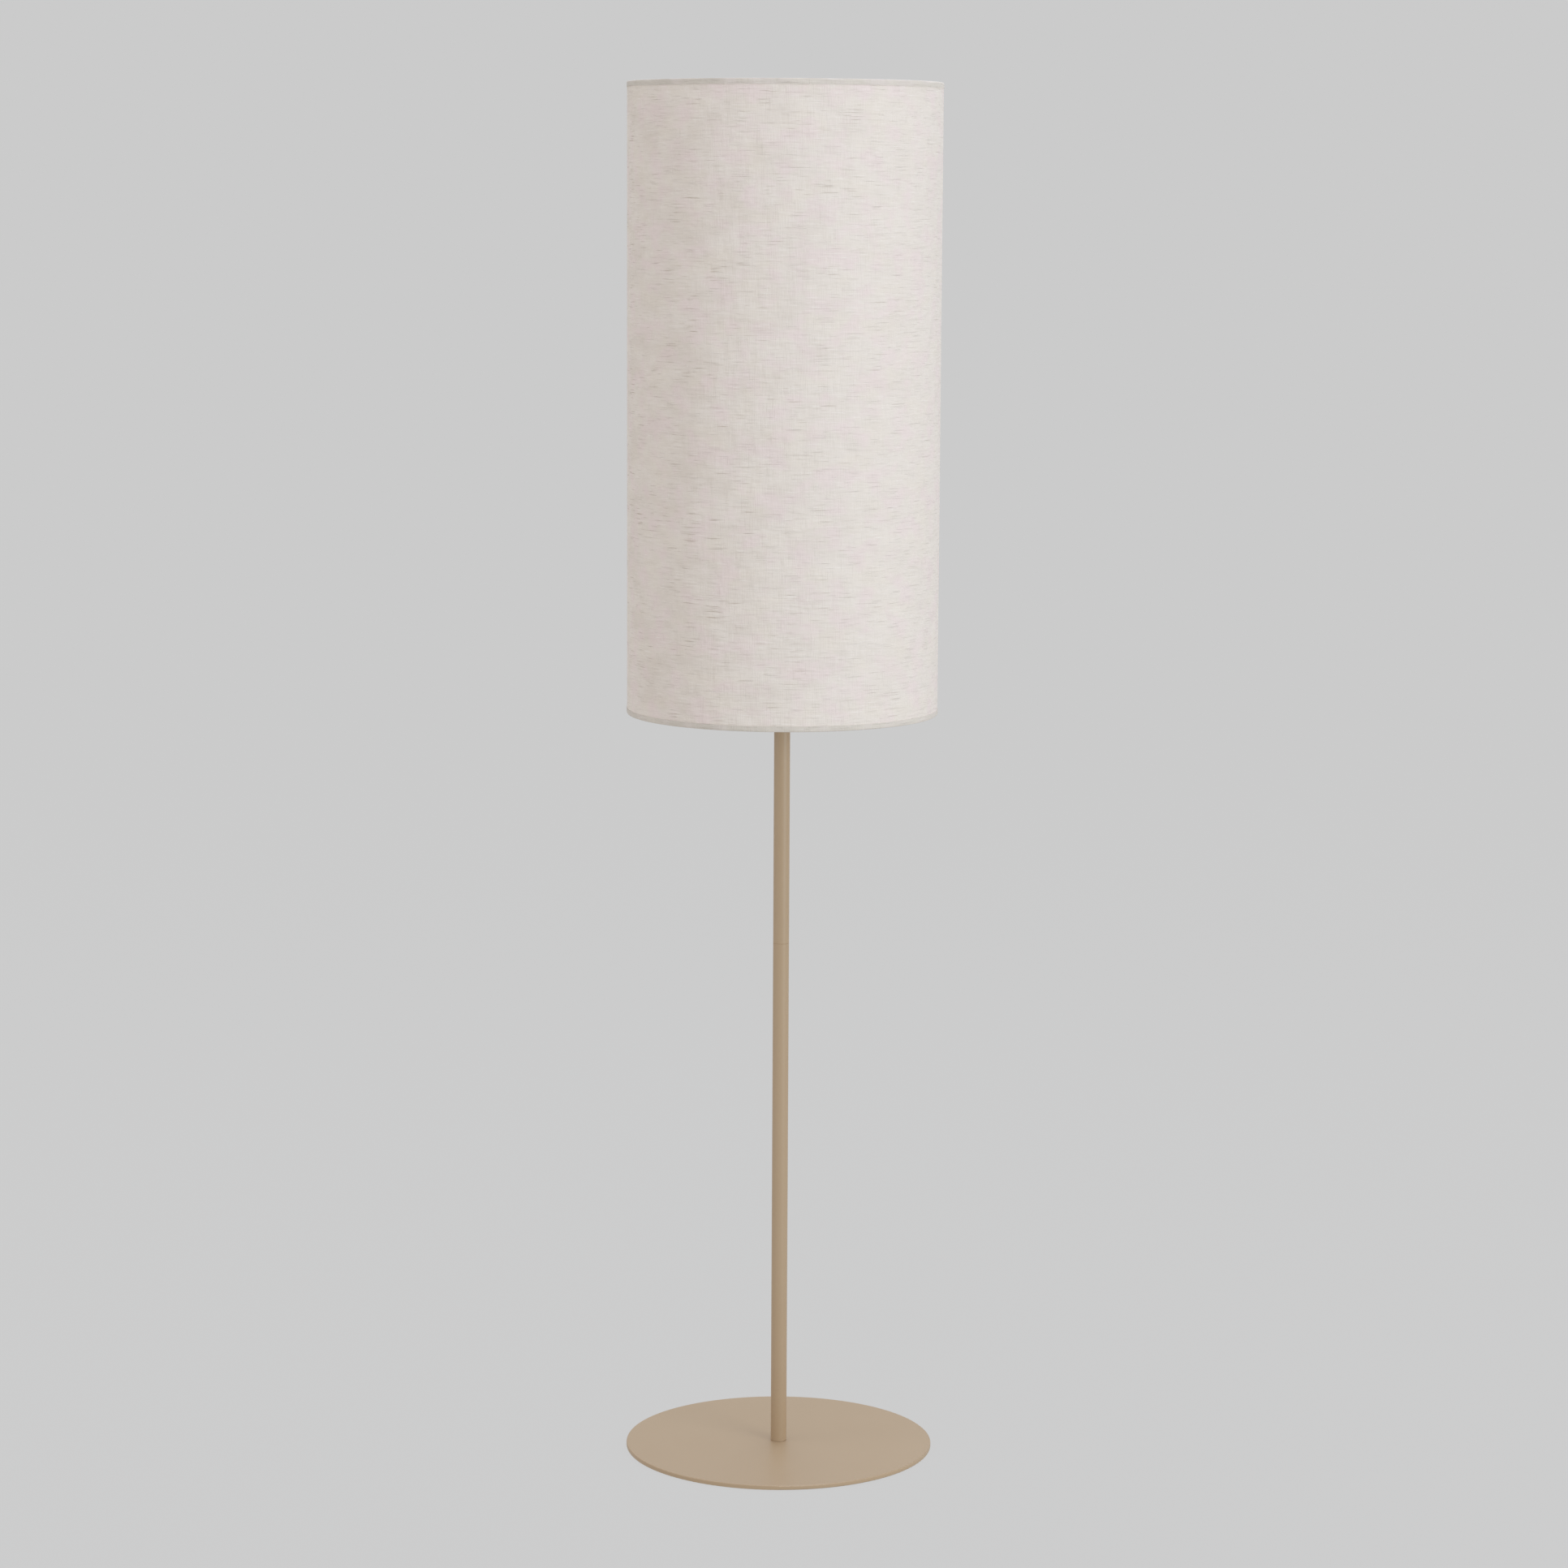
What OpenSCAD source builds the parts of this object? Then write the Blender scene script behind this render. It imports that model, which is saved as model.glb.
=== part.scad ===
// Column floor lamp: a tall linen drum shade on a two-part tube column and a thin round base.
// Millimetres, +Z up, origin at the centre of the underside. The shade hangs on a welded wire
// frame, which is clamped between two ring nuts on the lampholder at the top of the column.

/* [Overall] */
// Height from the floor to the top of the shade
total_h = 1550; // [1400:10:1750]

/* [Base] */
// Diameter of the base plate
base_d = 350; // [300:5:420]
// Thickness of the base plate
plate_t = 5; // [4.5:0.5:8]
// Radius of the rounded edges of the base plate
plate_edge_r = 1.2; // [0.6:0.1:2]
// Number of felt pads under the plate
pad_count = 6; // [4:1:8]
// Diameter of a felt pad
pad_d = 24; // [18:1:30]
// Thickness of a felt pad
pad_t = 1; // [1:0.5:3]
// Distance from the rim of the plate to a pad
pad_inset = 8; // [5:1:20]

/* [Column] */
// Outer diameter of the two tubes
tube_d = 18; // [16:0.5:22]
// Wall of the tubes
tube_wall = 1.2; // [1:0.1:1.5]
// Bevel on the cut ends of the tubes
tube_bevel = 0.3; // [0.2:0.1:0.6]
// Length of the threaded insert in a tube's end
insert_l = 14; // [10:1:20]

/* [Threaded fittings] */
// Thread diameter of the hollow nipples
thread_d = 10; // [9:0.5:11]
// Bore of the nipples, for the wires
nipple_bore = 7; // [5:0.5:7.5]
// Play between a nipple and the hole that it passes
nipple_play = 0.25; // [0.1:0.05:0.5]
// Depth to which a nipple is screwed into an insert
nipple_grip = 12; // [8:1:13]
// Thickness of the lock washers
washer_t = 1; // [0.8:0.1:1.2]
// Diameter of the washer under the base plate
base_washer_d = 20; // [17:0.5:22]
// Diameter of the washer under the lampholder
head_washer_d = 15; // [13:0.5:16]
// Thickness of the hexagon nut
nut_t = 2.5; // [2:0.5:3]
// Width of the hexagon nut across its flats
nut_af = 14; // [13:0.5:16]
// Diameter of the recess for nut and washer in the underside of the base
recess_d = 26; // [24:1:32]

/* [Cord outlet] */
// Height of the cord outlet above the base plate
outlet_h = 30; // [25:1:60]
// Width of the slot for the flat cord
outlet_slot_w = 6.4; // [5:0.2:6.6]
// Height of the slot for the flat cord
outlet_slot_h = 3.6; // [3:0.2:4]
// Diameter of the bush's shank in the tube wall
bush_d = 8; // [7.6:0.2:9]
// Diameter of the bush's flange
bush_flange_d = 11; // [10:0.5:13]
// How far the flange stands off the tube
bush_flange_t = 1.6; // [1:0.2:3]

/* [Lampholder] */
// Height of the domed cap
cap_h = 22; // [20:1:26]
// Diameter of the domed cap
cap_d = 36; // [35:0.5:37.5]
// Diameter of the cap's threaded neck
cap_neck_d = 16; // [15:0.5:18]
// Height of the neck below the dome
cap_neck_h = 6; // [5:0.5:7]
// Diameter of the grub screw in the neck
grub_d = 4; // [3:0.5:4]
// Outer diameter of the skirt, over its thread
skirt_d = 39.5; // [38.5:0.25:41]
// Height of the skirt above the cap
skirt_h = 34; // [30:1:40]
// Wall of the skirt
skirt_wall = 1.8; // [1.4:0.1:2]
// Bore that takes the bulb's screw cap
socket_d = 28.4; // [28:0.1:28.8]
// Diameter of the ceramic core
core_d = 32; // [31:0.2:32.2]
// Thickness of the core's disc
core_t = 5; // [4:0.5:5.5]
// Diameter of the raised middle of the core
core_boss_d = 20; // [18:0.5:22]
// Height of the raised middle of the core
core_boss_h = 6; // [5:0.5:7]
// Thickness of the brass contacts
contact_t = 0.5; // [0.4:0.1:0.6]
// Width of the centre contact
centre_contact_w = 5; // [4:0.5:7]
// Width of the side contact
side_contact_w = 4; // [3:0.5:4]
// Diameter of a terminal screw's head
terminal_d = 6; // [5:0.5:7]
// Height of a terminal screw's head
terminal_h = 2.5; // [2:0.25:3]
// Distance between the terminal screws
terminal_pitch = 16; // [15:0.5:17]

/* [Shade rings] */
// Outer diameter of the ring nuts that clamp the shade
ring_nut_d = 54; // [50:1:58]
// Height of the lower ring nut
lower_nut_h = 5; // [4:0.5:7]
// Height of the upper ring nut
upper_nut_h = 6; // [5:0.5:9]
// Number of finger grooves round a ring nut
groove_count = 18; // [12:1:24]
// Diameter of a finger groove
groove_d = 4; // [3:0.5:5]
// Thread left free on the skirt below the lower ring nut
free_thread = 2.2; // [1:0.2:4]

/* [Shade frame] */
// Diameter of the frame wire
wire_d = 3; // [2.5:0.5:4]
// Thickness of the spider's centre ring
spider_t = 1.6; // [1.2:0.2:2.4]
// Outer diameter of the spider's centre ring
spider_d = 70; // [66:1:80]
// Play between the centre ring and the skirt, on the radius
spider_play = 0.5; // [0.3:0.1:0.7]
// Gap between an arm's inner end and the ring nuts
arm_gap = 1.5; // [1:0.1:3]
// Direction of the first spoke, at the back
spoke_turn = 90; // [0:5:120]

/* [Shade skin] */
// Outer diameter of the shade over its hems
shade_d = 350; // [300:5:420]
// Height of the shade
shade_h = 700; // [500:10:800]
// Thickness of the linen
cover_t = 0.6; // [0.4:0.1:1]
// Thickness of the stiff liner
liner_t = 0.4; // [0.3:0.1:0.6]
// Thickness of the hem tape
hem_t = 0.6; // [0.6:0.1:1]
// Height of the hem band seen from outside
hem_h = 6.6; // [5:0.2:12]
// Height over which the hem slants back to the liner under the wire
tuck_drop = 4; // [3:0.5:8]
// Height of the hem's glued inner edge
tuck_h = 8; // [5:1:15]
// Width of the linen's glued lap at the back
lap_w = 12; // [8:1:20]
// Thickness that the lap adds
lap_t = 0.5; // [0.3:0.1:0.5]
// Room beside a strut where the hem is cut out round it
notch_play = 1; // [0.5:0.25:3]
// Room between the hem's roll and what it goes over
roll_play = 0.05; // [0.05:0.05:0.3]
// Thickness of the glue under the hem's inner edge
glue_t = 0.1; // [0.05:0.05:0.2]

/* [Bulb] */
// Diameter of the bulb's screw cap over its thread
screw_d = 26.2; // [26:0.1:26.6]
// Thickness of the screw cap's sheet
screw_t = 0.5; // [0.3:0.1:0.8]
// Height of the screw cap's straight part
screw_h = 20; // [16:1:22]
// Diameter of the globe
globe_d = 60; // [55:1:80]
// Length of the whole bulb
bulb_l = 106; // [100:1:130]
// Wall of the globe
globe_t = 1.2; // [0.8:0.1:2]
// Diameter of the seam between collar and globe
collar_d = 48; // [44:1:54]
// Gap under the tip of the bulb
tip_gap = 0.3; // [0.2:0.1:0.6]

/* [Hidden] */
$fn = 96;

// Overlap of a cutter with an open face, and how far a long cutter runs past what it cuts
EPS = 0.01;
OVER = 1;

// Base: the plate lies on its pads, and nut and washer hide in a recess under it
plate_z = pad_t;
plate_top = plate_z + plate_t;
base_r = base_d / 2;
nut_proud = pad_t / 2;
recess_depth = washer_t + nut_t - nut_proud;
recess_roof = plate_z + recess_depth;
nut_z = recess_roof - washer_t - nut_t;
pad_circle_r = base_r - pad_inset - pad_d / 2;

// Spokes of the shade frame: each is an arm and a strut, and a node of its own
SPOKES = 3;

// Shade: its middle is where the wire spider and the lampholder are
shade_top = total_h;
shade_bottom = total_h - shade_h;
spider_z = (shade_top + shade_bottom) / 2;
cover_r = shade_d / 2 - hem_t;
liner_r = cover_r - cover_t;
liner_in_r = liner_r - liner_t;
ring_r = liner_in_r - wire_d / 2;
roll_in_r = (cover_t + liner_t + wire_d) / 2 + roll_play;
roll_out_r = roll_in_r + hem_t;
roll_r = cover_r - roll_in_r;
top_ring_z = shade_top - roll_out_r;
bottom_ring_z = shade_bottom + roll_out_r;

// Lampholder: stacked downwards from the spider to the top of the column
spider_under = spider_z - spider_t / 2;
skirt_z = spider_under - lower_nut_h - free_thread;
skirt_top = skirt_z + skirt_h;
cap_z = skirt_z - cap_h;
column_top = cap_z - washer_t;
cap_r = cap_d / 2;
cap_neck_r = cap_neck_d / 2;
dome_r = cap_r - cap_neck_r;
cap_floor_t = 3;
terminal_room = 4;
core_play = 0.2;
ledge_w = 3;
boss_depth = cap_neck_h + cap_floor_t;
ledge_h = boss_depth + terminal_room;
cap_floor_z = cap_z + boss_depth;
ledge_z = cap_z + ledge_h;
cap_bore_r = core_d / 2 + core_play;
ledge_r = core_d / 2 - ledge_w;
core_top = ledge_z + core_t;
core_boss_top = core_top + core_boss_h;
skirt_r = skirt_d / 2;
socket_r = socket_d / 2;
spigot_relief = 0.4;
spigot_in_r = socket_r + spigot_relief;
sleeve_wall = 1.6;
sleeve_gap = 6;
sleeve_z = skirt_z + sleeve_gap;

// Column: two equal tubes from the base plate to the lampholder
tube_r = tube_d / 2;
tube_in_r = tube_r - tube_wall;
tube_l = (column_top - plate_top) / 2;
seam_z = plate_top + tube_l;
thread_r = thread_d / 2;
outlet_z = plate_top + outlet_h;

// Bulb: screwed home, its cap stands a little out of the skirt
tip_h = 1.6;
insulator_h = 3.4;
shoulder_h = 2.4;
screw_proud = 1.8;
bulb_z = skirt_top + screw_proud - screw_h - shoulder_h - insulator_h - tip_h;
screw_r = screw_d / 2;
insulator_z = bulb_z + tip_h;
shoulder_z = insulator_z + insulator_h;
screw_z = shoulder_z + shoulder_h;
screw_top = screw_z + screw_h;
globe_r = globe_d / 2;
globe_z = bulb_z + bulb_l - globe_r;
collar_r = collar_d / 2;
collar_top = globe_z - sqrt(globe_r * globe_r - collar_r * collar_r);
tip_r = 4.6;
insulator_r = 10.5;
collar_foot_r = 14;
collar_lip = 3;

// Colours
POWDER_COAT = "#B7A58E";
ZINC = "#A9ABAE";
BRASS = "#C8A65A";
WHITE_PLASTIC = "#E9E6DF";
WHITE_WIRE = "#DEDBD4";
CERAMIC = "#EFEBE2";
LINEN = "#DCD3CC";
HEM_LINEN = "#CCC4BC";
LINER = "#EFECE6";
FELT = "#4A4744";
BULB_WHITE = "#F4F1EA";
ALUMINIUM = "#B8BABD";
BLACK_GLASS = "#1C1B1A";

// A tube or ring about the column's axis, standing on height z
module pipe(outer_r, inner_r, z, h) {
  translate([0, 0, z])
    rotate_extrude()
      translate([inner_r, 0])
        square([outer_r - inner_r, h]);
}

// A point at a share t along the curve that leaves a towards b and arrives at c from b
function bend(a, b, c, t) = (1 - t) * (1 - t) * a + 2 * t * (1 - t) * b + t * t * c;

// Base ------------------------------------------------------------------------------------

module base_plate_profile() {
  rim_r = base_r - plate_edge_r;
  square([rim_r, plate_t]);
  translate([0, plate_edge_r])
    square([base_r, plate_t - 2 * plate_edge_r]);
  for (edge_z = [plate_edge_r, plate_t - plate_edge_r])
    translate([rim_r, edge_z])
      circle(plate_edge_r);
}

module base_plate() {
  color(POWDER_COAT)
    difference() {
      translate([0, 0, plate_z])
        rotate_extrude($fn = 180)
          base_plate_profile();
      translate([0, 0, plate_z - EPS])
        cylinder(h = plate_t + 2 * EPS, r = thread_r + nipple_play);
      translate([0, 0, plate_z - EPS])
        cylinder(h = recess_depth + EPS, d = recess_d);
    }
}

module floor_pads() {
  color(FELT)
    for (i = [0 : pad_count - 1])
      rotate(i * 360 / pad_count)
        translate([pad_circle_r, 0, 0])
          cylinder(h = pad_t, d = pad_d);
}

module nipple(z, h) {
  color(ZINC)
    pipe(thread_r, nipple_bore / 2, z, h);
}

module base_nipple() {
  nipple(nut_z, plate_top + nipple_grip - nut_z);
}

module base_washer() {
  color(ZINC)
    pipe(base_washer_d / 2, thread_r + nipple_play, recess_roof - washer_t, washer_t);
}

module base_nut() {
  color(ZINC)
    translate([0, 0, nut_z])
      difference() {
        cylinder(h = nut_t, d = nut_af / cos(30), $fn = 6);
        translate([0, 0, -EPS])
          cylinder(h = nut_t + 2 * EPS, r = thread_r);
      }
}

// Column ----------------------------------------------------------------------------------

// A ring with an inner thread, welded into a tube's end
module insert(z) {
  color(ZINC)
    pipe(tube_in_r, thread_r, z, insert_l);
}

module foot_insert() {
  insert(plate_top);
}

module lower_joint_insert() {
  insert(seam_z - insert_l);
}

module upper_joint_insert() {
  insert(seam_z);
}

module head_insert() {
  insert(column_top - insert_l);
}

// One of the two column tubes, with its outer edges broken by a small bevel
module column_tube(z) {
  translate([0, 0, z])
    rotate_extrude()
      polygon([
        [tube_in_r, 0],
        [tube_r - tube_bevel, 0],
        [tube_r, tube_bevel],
        [tube_r, tube_l - tube_bevel],
        [tube_r - tube_bevel, tube_l],
        [tube_in_r, tube_l]
      ]);
}

// A cylinder that points backwards out of the column at the cord outlet
module outlet_cylinder(d, from_y, to_y) {
  translate([0, from_y, outlet_z])
    rotate([-90, 0, 0])
      cylinder(h = to_y - from_y, d = d);
}

module lower_tube() {
  color(POWDER_COAT)
    difference() {
      column_tube(plate_top);
      outlet_cylinder(bush_d, 0, tube_r + OVER);
    }
}

module upper_tube() {
  color(POWDER_COAT)
    column_tube(seam_z);
}

// Nylon bush with a saddle flange, a shank through the wall and a slot for a flat cord
module cord_bush() {
  shank_reach = 1.2;
  bush_back = tube_r + bush_flange_t;
  bush_front = tube_in_r - shank_reach;
  slot_side = (outlet_slot_w - outlet_slot_h) / 2;
  color(POWDER_COAT)
    difference() {
      union() {
        outlet_cylinder(bush_d, bush_front, tube_r);
        difference() {
          outlet_cylinder(bush_flange_d, tube_in_r, bush_back);
          translate([0, 0, outlet_z - bush_flange_d])
            cylinder(h = 2 * bush_flange_d, r = tube_r);
        }
      }
      for (side = [-1, 1])
        translate([side * slot_side, 0, 0])
          outlet_cylinder(outlet_slot_h, bush_front - OVER, bush_back + OVER);
      translate([-slot_side, bush_front - OVER, outlet_z - outlet_slot_h / 2])
        cube([2 * slot_side, bush_back - bush_front + 2 * OVER, outlet_slot_h]);
    }
}

module joint_nipple() {
  nipple(seam_z - nipple_grip, 2 * nipple_grip);
}

module head_nipple() {
  nipple(column_top - nipple_grip, cap_floor_z - column_top + nipple_grip);
}

module head_washer() {
  color(ZINC)
    pipe(head_washer_d / 2, thread_r, column_top, washer_t);
}

// Lampholder ------------------------------------------------------------------------------

module holder_cap() {
  dome_z = cap_neck_h + dome_r;
  color(WHITE_PLASTIC)
    translate([0, 0, cap_z])
      difference() {
        rotate_extrude() {
          square([cap_neck_r, dome_z]);
          translate([cap_neck_r, dome_z])
            intersection() {
              circle(dome_r);
              translate([0, -dome_r])
                square(dome_r);
            }
          translate([0, dome_z])
            square([cap_r, cap_h - dome_z]);
        }
        translate([0, 0, -EPS])
          cylinder(h = boss_depth + 2 * EPS, r = thread_r);
        translate([0, 0, boss_depth])
          cylinder(h = cap_h, r = ledge_r);
        translate([0, 0, ledge_h])
          cylinder(h = cap_h, r = cap_bore_r);
        translate([0, 0, cap_neck_h / 2])
          rotate([0, 90, 0])
            cylinder(h = cap_r, d = grub_d);
      }
}

module holder_grub_screw() {
  slot_w = grub_d / 5;
  color(ZINC)
    translate([0, 0, cap_z + cap_neck_h / 2])
      difference() {
        intersection() {
          rotate([0, 90, 0])
            cylinder(h = cap_neck_r, d = grub_d);
          cylinder(h = 2 * grub_d, r = cap_neck_r, center = true);
        }
        cylinder(h = 2 * grub_d, r = thread_r, center = true);
        translate([cap_neck_r - slot_w, -grub_d, -slot_w / 2])
          cube([2 * slot_w, 2 * grub_d, slot_w]);
      }
}

// Ceramic core: a disc that rests on the cap's ledge, with a raised middle and two wire holes
module holder_core() {
  wire_hole_d = 3;
  wire_hole_pitch = 12;
  color(CERAMIC)
    difference() {
      union() {
        translate([0, 0, ledge_z])
          cylinder(h = core_t, d = core_d);
        translate([0, 0, core_top])
          cylinder(h = core_boss_h, d = core_boss_d);
      }
      for (side = [-1, 1])
        translate([side * wire_hole_pitch / 2, 0, ledge_z - EPS])
          cylinder(h = core_t / 2, d = wire_hole_d);
    }
}

module terminal_screws() {
  slot_w = terminal_d / 6;
  color(BRASS)
    for (side = [-1, 1])
      translate([0, side * terminal_pitch / 2, ledge_z - terminal_h])
        difference() {
          cylinder(h = terminal_h, d = terminal_d);
          translate([-terminal_d, -slot_w / 2, -EPS])
            cube([2 * terminal_d, slot_w, slot_w]);
        }
}

// Brass strip folded back over itself, so that it springs against the bulb's tip
module centre_contact() {
  spring_h = bulb_z - tip_gap - core_boss_top;
  fold_r = spring_h / 2;
  fold_x = 4.5;
  tail_l = 2;
  color(BRASS)
    translate([0, centre_contact_w / 2, core_boss_top])
      rotate([90, 0, 0])
        linear_extrude(centre_contact_w) {
          translate([-fold_x - tail_l, 0])
            square([2 * fold_x + tail_l, contact_t]);
          translate([-fold_x, spring_h - contact_t])
            square([2 * fold_x, contact_t]);
          translate([fold_x, fold_r])
            intersection() {
              difference() {
                circle(fold_r);
                circle(fold_r - contact_t);
              }
              translate([0, -fold_r])
                square([fold_r, 2 * fold_r]);
            }
        }
}

// Brass strip that stands up beside the bulb's screw cap
module side_contact() {
  sleeve_play = 0.2;
  boss_play = 0.3;
  top_drop = 12;
  strip_x = socket_r - sleeve_play - contact_t;
  foot_l = strip_x + contact_t - core_boss_d / 2 - boss_play;
  strip_h = skirt_top - top_drop - core_top;
  color(BRASS)
    translate([strip_x, side_contact_w / 2, core_top])
      rotate([90, 0, 0])
        linear_extrude(side_contact_w) {
          square([contact_t, strip_h]);
          translate([contact_t - foot_l, 0])
            square([foot_l, contact_t]);
        }
}

// Moulded skirt: an outer threaded sleeve and an inner sleeve for the bulb, joined by the rim
module holder_skirt() {
  rim_h = 2.2;
  rim_bevel = 0.6;
  sleeve_r = socket_r + sleeve_wall;
  color(WHITE_PLASTIC)
    rotate_extrude() {
      translate([spigot_in_r, core_top])
        square([cap_bore_r - spigot_in_r, skirt_z + skirt_wall - core_top]);
      translate([spigot_in_r, skirt_z])
        square([skirt_r - spigot_in_r, skirt_wall]);
      translate([skirt_r - skirt_wall, skirt_z])
        square([skirt_wall, skirt_h - rim_h]);
      translate([socket_r, sleeve_z])
        square([sleeve_r - socket_r, skirt_top - sleeve_z - rim_h]);
      polygon([
        [socket_r, skirt_top - rim_h],
        [skirt_r, skirt_top - rim_h],
        [skirt_r, skirt_top - rim_bevel],
        [skirt_r - rim_bevel, skirt_top],
        [socket_r + rim_bevel, skirt_top],
        [socket_r, skirt_top - rim_bevel]
      ]);
    }
}

// A ring nut on the skirt's thread, with finger grooves round its rim
module ring_nut(z, h) {
  color(WHITE_PLASTIC)
    difference() {
      pipe(ring_nut_d / 2, skirt_r, z, h);
      for (i = [0 : groove_count - 1])
        rotate(i * 360 / groove_count)
          translate([ring_nut_d / 2 + groove_d / 4, 0, z - OVER])
            cylinder(h = h + 2 * OVER, d = groove_d);
    }
}

module lower_shade_ring() {
  ring_nut(spider_under - lower_nut_h, lower_nut_h);
}

module upper_shade_ring() {
  ring_nut(spider_under + spider_t, upper_nut_h);
}

// Shade frame -----------------------------------------------------------------------------

// A ring of round wire inside the shade
module wire_ring(z) {
  translate([0, 0, z])
    rotate_extrude($fn = 180)
      translate([ring_r, 0])
        circle(d = wire_d, $fn = 32);
}

function spoke_angle(i) = spoke_turn + i * 360 / SPOKES;

module strut_wire() {
  translate([ring_r, 0, bottom_ring_z])
    cylinder(h = top_ring_z - bottom_ring_z, d = wire_d, $fn = 32);
}

module spider_ring() {
  color(WHITE_WIRE)
    pipe(spider_d / 2, skirt_r + spider_play, spider_under, spider_t);
}

// An arm lies under the centre ring, welded to it, and ends in a cope against its strut
module spider_arm(i) {
  arm_in_r = ring_nut_d / 2 + arm_gap;
  color(WHITE_WIRE)
    rotate(spoke_angle(i))
      difference() {
        translate([arm_in_r, 0, spider_under - wire_d / 2])
          rotate([0, 90, 0])
            cylinder(h = ring_r - arm_in_r, d = wire_d, $fn = 32);
        strut_wire();
      }
}

module spider_arm_a() {
  spider_arm(0);
}

module spider_arm_b() {
  spider_arm(1);
}

module spider_arm_c() {
  spider_arm(2);
}

// A strut stands between the two rings, coped at both ends to fit round their wire
module frame_strut(i) {
  color(WHITE_WIRE)
    difference() {
      rotate(spoke_angle(i))
        strut_wire();
      wire_ring(top_ring_z);
      wire_ring(bottom_ring_z);
    }
}

module frame_strut_a() {
  frame_strut(0);
}

module frame_strut_b() {
  frame_strut(1);
}

module frame_strut_c() {
  frame_strut(2);
}

module frame_top_ring() {
  color(WHITE_WIRE)
    wire_ring(top_ring_z);
}

module frame_bottom_ring() {
  color(WHITE_WIRE)
    wire_ring(bottom_ring_z);
}

// Shade skin ------------------------------------------------------------------------------

module shade_liner() {
  color(LINER)
    pipe(liner_r, liner_in_r, bottom_ring_z, top_ring_z - bottom_ring_z, $fn = 180);
}

// The linen goes once round the liner and is lapped over itself at the back
module shade_cover() {
  lap_angle = lap_w / cover_r * 180 / PI;
  lap_z = shade_bottom + hem_h;
  color(LINEN) {
    pipe(cover_r, liner_r, bottom_ring_z, top_ring_z - bottom_ring_z, $fn = 180);
    rotate(spoke_turn - lap_angle / 2)
      translate([0, 0, lap_z])
        rotate_extrude(angle = lap_angle, $fn = 180)
          translate([cover_r - cover_t / 2, 0])
            square([cover_t / 2 + lap_t, shade_h - 2 * hem_h]);
  }
}

// A point on a circle, and points along one of its arcs
function on_circle(centre, r, angle) = centre + r * [cos(angle), sin(angle)];
function arc(centre, r, from, to) =
  [for (t = [0 : 0.125 : 1]) on_circle(centre, r, from + (to - from) * t)];

// Section of the hem, drawn for an upper edge at height 0: down the outside, over the wire
// in a half round, and back under it to the liner
module hem_profile() {
  tuck_angle = atan(wire_d / tuck_drop);
  mitre = hem_t * tan(tuck_angle / 2);
  roll_centre = [roll_r, -roll_out_r];
  inner_r = roll_r - roll_out_r;
  knee_gap = 0.3;
  knee_z = -roll_out_r - wire_d / 2 - knee_gap;
  heel_z = knee_z - tuck_drop;
  end_z = heel_z - tuck_h;
  glued_r = liner_in_r - glue_t;
  polygon(concat(
    [[cover_r + hem_t, -hem_h]],
    arc(roll_centre, roll_out_r, 0, 180),
    [[inner_r, knee_z - mitre], [glued_r - hem_t, heel_z - mitre], [glued_r - hem_t, end_z]],
    [[glued_r, end_z], [glued_r, heel_z], [inner_r + hem_t, knee_z]],
    arc(roll_centre, roll_in_r, 180, 0),
    [[cover_r, -hem_h]]
  ));
}

// The hem tape, cut out where it would cross the three struts
module hem_tape() {
  notch_w = wire_d + 2 * notch_play;
  notch_top = -roll_out_r - wire_d / 2;
  notch_depth = tuck_drop + tuck_h + OVER;
  notch_in_r = roll_r - roll_out_r - OVER;
  notch_out_r = (liner_in_r + cover_r) / 2;
  difference() {
    rotate_extrude($fn = 180)
      hem_profile();
    for (i = [0 : SPOKES - 1])
      rotate(spoke_angle(i))
        translate([notch_in_r, -notch_w / 2, notch_top - notch_depth])
          cube([notch_out_r - notch_in_r, notch_w, notch_depth]);
  }
}

module top_hem() {
  color(HEM_LINEN)
    translate([0, 0, shade_top])
      hem_tape();
}

module bottom_hem() {
  color(HEM_LINEN)
    translate([0, 0, shade_bottom])
      mirror([0, 0, 1])
        hem_tape();
}

// Bulb ------------------------------------------------------------------------------------

module bulb_globe() {
  color(BULB_WHITE)
    difference() {
      translate([0, 0, globe_z])
        sphere(globe_r);
      translate([0, 0, globe_z])
        sphere(globe_r - globe_t);
      translate([0, 0, collar_top - globe_d])
        cylinder(h = globe_d, r = globe_d);
    }
}

// The collar plugs into the screw cap and flares out to meet the globe along its tangent
module bulb_collar() {
  foot_gap = 0.2;
  waist = 3;
  plug_depth = 1.4;
  foot_z = screw_top + foot_gap;
  lip_z = foot_z + collar_lip;
  tangent = collar_r / (globe_z - collar_top);
  knee_r = (collar_foot_r + collar_r) / 2 - waist;
  knee_z = collar_top - (collar_r - knee_r) * tangent;
  flare = [for (t = [0 : 0.1 : 1]) bend([collar_foot_r, lip_z], [knee_r, knee_z], [collar_r, collar_top], t)];
  color(BULB_WHITE)
    rotate_extrude()
      polygon(concat(
        [[0, screw_z - plug_depth], [screw_r - screw_t, screw_z]],
        [[screw_r - screw_t, foot_z], [collar_foot_r, foot_z]],
        flare,
        [[0, collar_top]]
      ));
}

module bulb_cap() {
  color(ALUMINIUM)
    rotate_extrude()
      polygon([
        [insulator_r - screw_t, shoulder_z],
        [insulator_r, shoulder_z],
        [screw_r, screw_z],
        [screw_r, screw_top],
        [screw_r - screw_t, screw_top],
        [screw_r - screw_t, screw_z]
      ]);
}

module bulb_insulator() {
  rim_h = 0.6;
  color(BLACK_GLASS)
    rotate_extrude()
      polygon([
        [0, insulator_z],
        [tip_r, insulator_z],
        [insulator_r, shoulder_z - rim_h],
        [insulator_r, shoulder_z],
        [0, shoulder_z]
      ]);
}

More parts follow.
